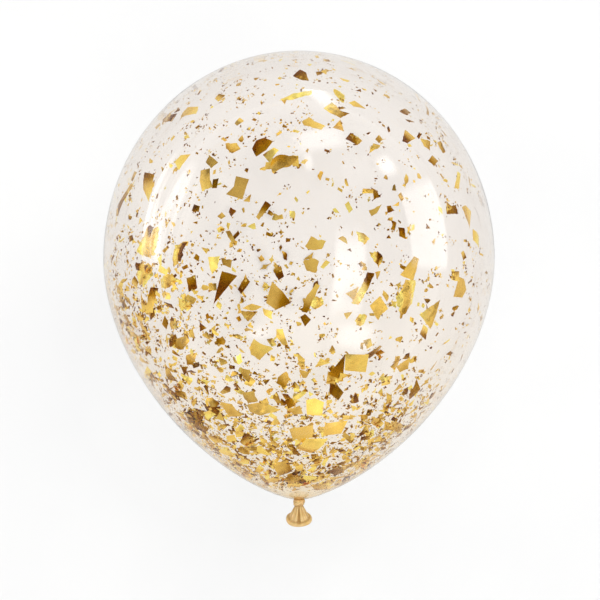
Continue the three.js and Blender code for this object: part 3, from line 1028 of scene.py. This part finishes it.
    def scatter(flakes, count, size_lo, size_hi, power, front, step, gap_hi, floor, lower, bottom):
        """Pieces strewn over one wall."""
        made = 0
        while made < count:
            a, phi = somewhere(front)
            if rng.uniform() > thickness(a, phi, floor, lower, bottom) * (0.35 + 1.1 * clumps(a, phi, 7 * MM)):
                continue
            s = size_lo * (size_hi / size_lo) ** (rng.uniform() ** power)
            if front and covers(a, phi, 1.2):
                continue
            w, h = s * rng.uniform(0.8, 1.5), s * rng.uniform(0.45, 0.95)
            kind = rng.choice(["q", "t", "s", "x"], p=[0.22, 0.12, 0.58, 0.08])
            poly = torn(rotated(OUTLINES[kind](w, h), rng.uniform(0, 2 * math.pi)), 0.13 * MM, 1.5 * MM)
            tone = float(np.clip(rng.choice([B, G, T, D], p=[0.18, 0.28, 0.26, 0.28]) + rng.normal(0, 0.07), 0, 1))
            place(
                flakes, a, phi, poly, tone,
                tilt=abs(rng.normal(0, 0.3)), tilt_dir=rng.uniform(0, 2 * math.pi),
                curl=rng.uniform(5, 50), curl_dir=rng.uniform(0, math.pi),
                crinkle=rng.uniform(0.02, 0.10) * MM, gap=rng.uniform(0.12, gap_hi) * MM, step=step,
                # a random painted gradient of light and shade across the sheet
                fade=rng.normal(0, 0.2), fade_dir=rng.uniform(0, 2 * math.pi),
            )
            made += 1

    def speck(flakes, a, phi, s):
        gap = rng.uniform(0.1, 0.4) * MM
        kind = rng.choice(["q", "t", "s"], p=[0.3, 0.2, 0.5])
        poly = anticlockwise(rotated(OUTLINES[kind](s * rng.uniform(0.8, 1.6), s * rng.uniform(0.5, 1.0)), rng.uniform(0, 2 * math.pi)))
        p0, n = wall_point(a, phi, SKIN_T + gap)
        t, b = tangents(n)
        local = poly[:, :1] * t + poly[:, 1:] * b
        ang = rng.uniform(0, 2 * math.pi)
        axis = t * math.cos(ang) + b * math.sin(ang)
        tilt = abs(rng.normal(0, 0.27))
        local = turned(local, axis, tilt)
        facing = turned(n[None, :], axis, tilt)[0]
        local = local - n * max(0.0, float((local @ n).max()))
        world = keep_inside(p0 + local, gap)
        tris = [tuple(range(len(poly)))]
        if np.cross(t, b) @ n < 0:
            tris = [tr[::-1] for tr in tris]
        tone = float(np.clip(rng.choice([B, G, T, D], p=[0.08, 0.20, 0.30, 0.42]) + rng.normal(0, 0.07), 0, 1))
        flakes.add(world, tris, facing, tone, 0.06 * MM)

    def dust(flakes, count, front, floor, lower, bottom):
        """Specks: some alone, most in loose strings and clusters."""
        made = 0
        while made < count:
            a, phi = somewhere(front)
            if rng.uniform() > thickness(a, phi, floor, lower, bottom) * (0.3 + 1.2 * clumps(a, phi, 5 * MM)):
                continue
            group = 1 if rng.uniform() < 0.35 else int(rng.integers(3, 10))
            turn = rng.uniform(0, math.pi)
            for _ in range(group):
                d, e = rng.normal(0, 3.6 * MM) if group > 1 else 0.0, rng.normal(0, 1.4 * MM) if group > 1 else 0.0
                aa = a + d * math.cos(turn) - e * math.sin(turn)
                aa = min(max(aa, -CROWN_L + 2 * MM), NECK_A - 6.5 * MM)
                pp = phi + (d * math.sin(turn) + e * math.cos(turn)) / max(20 * MM, float(radius(aa)))
                made += 1
                if not (front and covers(aa, pp, 1.06)):
                    speck(flakes, aa, pp, 0.85 * MM * (3.2 ** (rng.uniform() ** 1.6)))

    medium_near, medium_far = Flakes("foil_bits_near"), Flakes("foil_bits_far")
    specks_near, specks_far = Flakes("foil_specks_near"), Flakes("foil_specks_far")
    scatter(far, 140, 7 * MM, 16 * MM, 1.4, False, 1.8 * MM, 0.8, 0.10, 0.30, 0.7)
    scatter(near, 26, 7 * MM, 11 * MM, 1.2, True, 1.8 * MM, 0.8, 0.02, 0.05, 0.9)
    scatter(medium_near, 780, 2.4 * MM, 8.5 * MM, 1.3, True, 1.4 * MM, 0.6, 0.06, 0.18, 0.85)
    scatter(medium_far, 800, 2.4 * MM, 8.5 * MM, 1.4, False, 1.6 * MM, 0.6, 0.07, 0.22, 0.85)
    dust(specks_near, 3900, True, 0.24, 0.2, 0.3)
    dust(specks_near, 1000, True, 0.0, 0.02, 0.9)
    dust(specks_far, 2500, False, 0.18, 0.2, 0.3)
    dust(specks_far, 1000, False, 0.0, 0.02, 0.9)
    out = [f.build(mats) for f in (near, far, medium_near, medium_far, specks_near, specks_far)]
    for o in out:
        o.visible_diffuse = o.name in ("foil_far", "foil_bits_far")
    return out


def foil_material():
    m, nt, b, out = material("gold_foil")
    c = coords(nt)
    tone = nt.nodes.new("ShaderNodeAttribute")
    tone.attribute_name = "tone"
    streak = noise(nt, c, 90.0, 2.0, 0.5)
    shift = remap(nt, streak, 0.25, 0.75, -0.07, 0.07)
    add = nt.nodes.new("ShaderNodeMath")
    add.operation = "ADD"
    add.use_clamp = True
    nt.links.new(tone.outputs["Fac"], add.inputs[0])
    nt.links.new(shift, add.inputs[1])
    # from dark to bright, partly the foil's own range of colour and partly painted reflection: the dark end as foil
    # looks mirroring something dark, the bright end as it looks mirroring a light
    col = ramp(
        nt,
        add.outputs[0],
        [
            (0.0, (0.18, 0.055, 0.002)),
            (0.22, (0.40, 0.195, 0.004)),
            (0.45, (0.75, 0.50, 0.12)),
            (0.7, (0.93, 0.66, 0.155)),
            (1.0, (1.0, 0.86, 0.24)),
        ],
    )
    nt.links.new(col, b.inputs["Base Color"])
    b.inputs["Metallic"].default_value = 1.0
    nt.links.new(remap(nt, noise(nt, c, 240.0, 2.0, 0.5), 0.3, 0.7, 0.2, 0.32), b.inputs["Roughness"])
    nt.links.new(bump(nt, noise(nt, c, 160.0, 2.0, 0.5), 0.12, 0.0005), b.inputs["Normal"])
    return m


# ---------------------------------------------------------------- stage
def build_stage():
    me = bpy.data.meshes.new("floor")
    s = 12.0
    me.from_pydata([(-s, -s, -0.0002), (s, -s, -0.0002), (s, s, -0.0002), (-s, s, -0.0002)], [], [(0, 1, 2, 3)])
    floor = bpy.data.objects.new("floor", me)
    bpy.context.scene.collection.objects.link(floor)
    m, nt, b, out = material("pale_floor")
    grain = ramp(nt, noise(nt, coords(nt), 4.0, 3.0, 0.5), [(0.35, (0.80, 0.80, 0.80)), (0.65, (0.83, 0.83, 0.825))])
    b.inputs["Roughness"].default_value = 0.7
    b.inputs["Specular IOR Level"].default_value = 0.2
    # The lit sheet is small, as the film's own gloss mirrors it: it darkens a little way out from the balloon. Seen
    # directly or through the film it is white to the horizon.
    away = nt.nodes.new("ShaderNodeVectorMath")
    away.operation = "LENGTH"
    shape = nt.nodes.new("ShaderNodeMapping")
    shape.inputs["Scale"].default_value = (1.0, 0.93, 0.0)
    nt.links.new(coords(nt), shape.inputs["Vector"])
    nt.links.new(shape.outputs["Vector"], away.inputs[0])
    path = nt.nodes.new("ShaderNodeLightPath")
    fac = None
    for value in (
        remap(nt, path.outputs["Glossy Depth"], 0.4, 0.6, 0.0, 1.0),
        remap(nt, path.outputs["Transmission Depth"], 3.4, 3.6, 1.0, 0.0),
        remap(nt, away.outputs["Value"], 0.23, 0.44, 0.0, 0.75),
    ):
        if fac is None:
            fac = value
        else:
            t = nt.nodes.new("ShaderNodeMath")
            t.operation = "MULTIPLY"
            nt.links.new(fac, t.inputs[0])
            nt.links.new(value, t.inputs[1])
            fac = t.outputs[0]
    nt.links.new(mix(nt, fac, grain, (0.0, 0.0, 0.0)), b.inputs["Base Color"])
    nt.links.new(mix(nt, fac, (1.0, 0.998, 0.992), (0.0, 0.0, 0.0)), b.inputs["Emission Color"])
    # Painted pool of light: the sheet glows brightest under the lower half of the balloon, and its glow rises far out,
    # where the softbox's light falls off.
    light_pool = nt.nodes.new("ShaderNodeMapping")
    light_pool.inputs["Location"].default_value = (0.02 / 0.15, 0.07 / 0.12, 0.0)
    light_pool.inputs["Scale"].default_value = (1 / 0.15, 1 / 0.12, 0.0)
    nt.links.new(coords(nt), light_pool.inputs["Vector"])
    light_pool_reach = nt.nodes.new("ShaderNodeVectorMath")
    light_pool_reach.operation = "LENGTH"
    nt.links.new(light_pool.outputs["Vector"], light_pool_reach.inputs[0])
    glow = nt.nodes.new("ShaderNodeMath")
    glow.operation = "ADD"
    nt.links.new(remap(nt, away.outputs["Value"], 0.8, 3.4, 0.05, 0.23), glow.inputs[0])
    nt.links.new(remap(nt, light_pool_reach.outputs["Value"], 0.35, 1.1, 0.085, 0.0), glow.inputs[1])
    nt.links.new(glow.outputs[0], b.inputs["Emission Strength"])
    me.materials.append(m)

    w = bpy.data.worlds.new("studio")
    bpy.context.scene.world = w
    w.use_nodes = True
    nt = w.node_tree
    nt.nodes.clear()
    out = nt.nodes.new("ShaderNodeOutputWorld")
    bg = nt.nodes.new("ShaderNodeBackground")
    nt.links.new(bg.outputs[0], out.inputs["Surface"])
    # What is seen directly is plain. What the foil mirrors is even overhead, with lighter walls and darker gaps lower
    # down. The film's own gloss mirrors a dim ceiling and the panels, as under a softbox set.
    path = nt.nodes.new("ShaderNodeLightPath")
    c = nt.nodes.new("ShaderNodeTexCoord").outputs["Generated"]
    up = separate(nt, c)[2]
    walls = ramp(nt, noise(nt, c, 2.6, 1.0, 0.5), [(0.38, (0.19, 0.18, 0.17)), (0.5, (0.68, 0.67, 0.65)), (0.6, (1.7, 1.69, 1.65))])
    over = ramp(nt, noise(nt, c, 2.1, 1.0, 0.5), [(0.35, (0.62, 0.62, 0.61)), (0.65, (1.0, 1.0, 0.99))])
    room = mix(nt, remap(nt, up, 0.8, 0.5, 0.0, 1.0), over, walls)
    room = mix(nt, remap(nt, up, 0.0, 0.34, 0.85, 0.0), room, (0.95, 0.95, 0.95))
    dim = mix(nt, remap(nt, up, 0.0, 0.28, 1.0, 0.0), (0.06, 0.06, 0.06), (0.85, 0.85, 0.85))
    # light that has gone round inside the skin comes from everywhere at once
    room = mix(nt, remap(nt, path.outputs["Glossy Depth"], 1.4, 1.6, 0.0, 1.0), room, (1.0, 0.98, 0.95))
    foil = remap(nt, path.outputs["Transmission Depth"], 3.4, 3.6, 0.0, 1.0)
    gloss = mix(nt, foil, dim, room)
    mirrored = remap(nt, path.outputs["Glossy Depth"], 0.4, 0.6, 0.0, 1.0)
    seen = mix(nt, mirrored, (0.95, 0.95, 0.95), gloss)
    # what lights the floor: all of it where it is looked at, two thirds of it where the film's gloss mirrors it
    lit = mix(nt, mirrored, (0.95, 0.95, 0.95), mix(nt, foil, (0.67, 0.67, 0.665), (1.0, 1.0, 1.0)))
    nt.links.new(mix(nt, remap(nt, path.outputs["Diffuse Depth"], 0.4, 0.6, 0.0, 1.0), seen, lit), bg.inputs["Color"])
    w.cycles.sampling_method = "NONE"


def softbox(name, at, towards, size_x, size_y, power):
    li = bpy.data.lights.new(name, "AREA")
    li.shape = "RECTANGLE"
    li.size, li.size_y = size_x, size_y
    li.energy = power
    o = bpy.data.objects.new(name, li)
    bpy.context.scene.collection.objects.link(o)
    o.location = at
    o.rotation_euler = (Vector(at) - Vector(towards)).to_track_quat("Z", "Y").to_euler()
    o.visible_camera = False
    o.visible_glossy = False
    o.visible_transmission = False
    return o


def panel(name, at, towards, wide, tall, shine, soft=(0.1, 0.1), bands=0.0):
    """A lit cloth panel that the film's own gloss mirrors. soft is how much of its half width and height fades at the edge, and
    bands is how much its light varies in upright bands. Looked through, it isn't there."""
    me = bpy.data.meshes.new(name)
    me.from_pydata([(-1, -1, 0), (1, -1, 0), (1, 1, 0), (-1, 1, 0)], [], [(0, 1, 2, 3)])
    o = bpy.data.objects.new(name, me)
    bpy.context.scene.collection.objects.link(o)
    o.location = at
    z = (Vector(towards) - Vector(at)).normalized()
    y = (Vector((0, 1, 0)) - z * z.y).normalized()
    x = y.cross(z)
    o.rotation_euler = Matrix((x, y, z)).transposed().to_euler()
    o.scale = (wide / 2, tall / 2, 1)
    m = bpy.data.materials.new(name)
    m.use_nodes = True
    m.cycles.emission_sampling = "NONE"
    nt = m.node_tree
    nt.nodes.clear()
    out = nt.nodes.new("ShaderNodeOutputMaterial")
    glow = nt.nodes.new("ShaderNodeEmission")
    clear = nt.nodes.new("ShaderNodeBsdfTransparent")
    both = nt.nodes.new("ShaderNodeMixShader")
    c = coords(nt)
    xyz = separate(nt, c)
    fade = None
    for axis in (0, 1):
        size = nt.nodes.new("ShaderNodeMath")
        size.operation = "ABSOLUTE"
        nt.links.new(xyz[axis], size.inputs[0])
        f = nt.nodes.new("ShaderNodeMapRange")
        f.interpolation_type = "SMOOTHSTEP"
        f.inputs["From Min"].default_value = 1.0
        f.inputs["From Max"].default_value = 1.0 - soft[axis]
        nt.links.new(size.outputs[0], f.inputs["Value"])
        if fade is None:
            fade = f.outputs["Result"]
        else:
            t = nt.nodes.new("ShaderNodeMath")
            t.operation = "MULTIPLY"
            nt.links.new(fade, t.inputs[0])
            nt.links.new(f.outputs["Result"], t.inputs[1])
            fade = t.outputs[0]
    if bands:
        squeeze = nt.nodes.new("ShaderNodeMapping")
        squeeze.inputs["Scale"].default_value = (3.2, 0.35, 1)
        nt.links.new(c, squeeze.inputs["Vector"])
        b = remap(nt, noise(nt, squeeze.outputs["Vector"], 1.0, 2.0, 0.55), 0.42, 0.6, 1 - bands, 1.0)
        t = nt.nodes.new("ShaderNodeMath")
        t.operation = "MULTIPLY"
        nt.links.new(fade, t.inputs[0])
        nt.links.new(b, t.inputs[1])
        fade = t.outputs[0]
    glow.inputs["Strength"].default_value = shine
    path = nt.nodes.new("ShaderNodeLightPath")
    seen = remap(nt, path.outputs["Glossy Depth"], 0.4, 0.6, 0.0, 1.0)
    outside = remap(nt, path.outputs["Transmission Depth"], 3.4, 3.6, 1.0, 0.0)
    fac = None
    for value in (outside, fade):
        f = nt.nodes.new("ShaderNodeMath")
        f.operation = "MULTIPLY"
        nt.links.new(fac or seen, f.inputs[0])
        nt.links.new(value, f.inputs[1])
        fac = f.outputs[0]
    nt.links.new(fac, both.inputs[0])
    nt.links.new(clear.outputs[0], both.inputs[1])
    nt.links.new(glow.outputs[0], both.inputs[2])
    nt.links.new(both.outputs[0], out.inputs["Surface"])
    me.materials.append(m)
    o.visible_camera = False
    o.visible_diffuse = False
    o.visible_shadow = False
    return o


def mirrored_from(px, py):
    """Where the camera's ray goes that meets the near wall at (px, py), and where it meets it."""
    a, phi = on_wall(px, py, True, 0.0)
    p, n = wall_point(a, phi)
    cam = np.array([CAM_X, CAM_Y, AXIS_Z + CAM_D])
    d = p - cam
    d /= np.linalg.norm(d)
    r = d - 2 * (d @ n) * n
    return p, r


def build_lights():
    def mirrored_at(name, x0, y0, x1, y1, dist, shine, soft, bands=0.0):
        """A panel that the near wall mirrors at about this rectangle of the picture."""
        p, r = mirrored_from((x0 + x1) / 2, (y0 + y1) / 2)
        at = p + r * dist
        ends = []
        for q in ((x0, (y0 + y1) / 2), (x1, (y0 + y1) / 2), ((x0 + x1) / 2, y0), ((x0 + x1) / 2, y1)):
            e, s = mirrored_from(*q)
            ends.append(e + s * ((at - e) @ r) / max(0.2, s @ r))
        panel(name, at, p, np.linalg.norm(ends[1] - ends[0]), np.linalg.norm(ends[3] - ends[2]), shine, soft, bands)

    mirrored_at("panel_right", 408, 180, 448, 274, 1.0, 4.3, (0.2, 0.3))
    mirrored_at("panel_left", 133, 150, 194, 272, 1.0, 7.6, (1.0, 0.7), 0.95)
    mirrored_at("panel_near", 331, 218, 369, 330, 1.3, 6.6, (0.4, 0.7))
    mirrored_at("panel_top", 285, 124, 356, 153, 1.2, 5.2, (0.7, 0.7))
    mirrored_at("panel_crown", 286, 89, 356, 103, 1.2, 4.9, (0.8, 0.8))
    mirrored_at("panel_low", 326, 318, 384, 356, 1.3, 5.6, (0.8, 0.8))
    mirrored_at("panel_spot", 374, 153, 399, 178, 1.3, 10.5, (1.0, 1.0))
    mirrored_at("panel_gap", 302, 150, 315, 174, 1.3, 5.2, (0.8, 0.8))
    mirrored_at("panel_side", 464, 176, 486, 234, 1.0, 4.5, (0.8, 0.8))
    mirrored_at("panel_foot", 240, 322, 278, 344, 1.3, 4.5, (1.0, 1.0))
    softbox("overhead", (0.55, 0.5, 3.4), (0, 0, 0), 3.0, 3.0, 34)


def build_camera():
    cam = bpy.data.cameras.new("camera")
    cam.lens = LENS
    cam.sensor_width = 36
    cam.clip_start = 0.01
    cam.clip_end = 60
    o = bpy.data.objects.new("camera", cam)
    bpy.context.scene.collection.objects.link(o)
    o.location = (CAM_X, CAM_Y, AXIS_Z + CAM_D)
    o.rotation_euler = (0, 0, 0)
    bpy.context.scene.camera = o


build_camera()
skin = build_skin()
skin.data.materials.append(skin_material())
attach(skin, "root")
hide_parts(NODE)

tail = build_tail()
tail.data.materials.append(tail_material())
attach(tail, "root")
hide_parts(NODE)

foil = build_foil()
build_stage()
build_lights()

scene = bpy.context.scene
scene.view_settings.view_transform = "Standard"
scene.view_settings.look = "None"
scene.view_settings.exposure = 0.0
scene.view_settings.gamma = 1.0
scene.cycles.max_bounces = 36
scene.cycles.transmission_bounces = 30
scene.cycles.glossy_bounces = 24
scene.cycles.diffuse_bounces = 4
scene.cycles.blur_glossy = 0.0
scene.cycles.caustics_refractive = False
scene.cycles.caustics_reflective = False
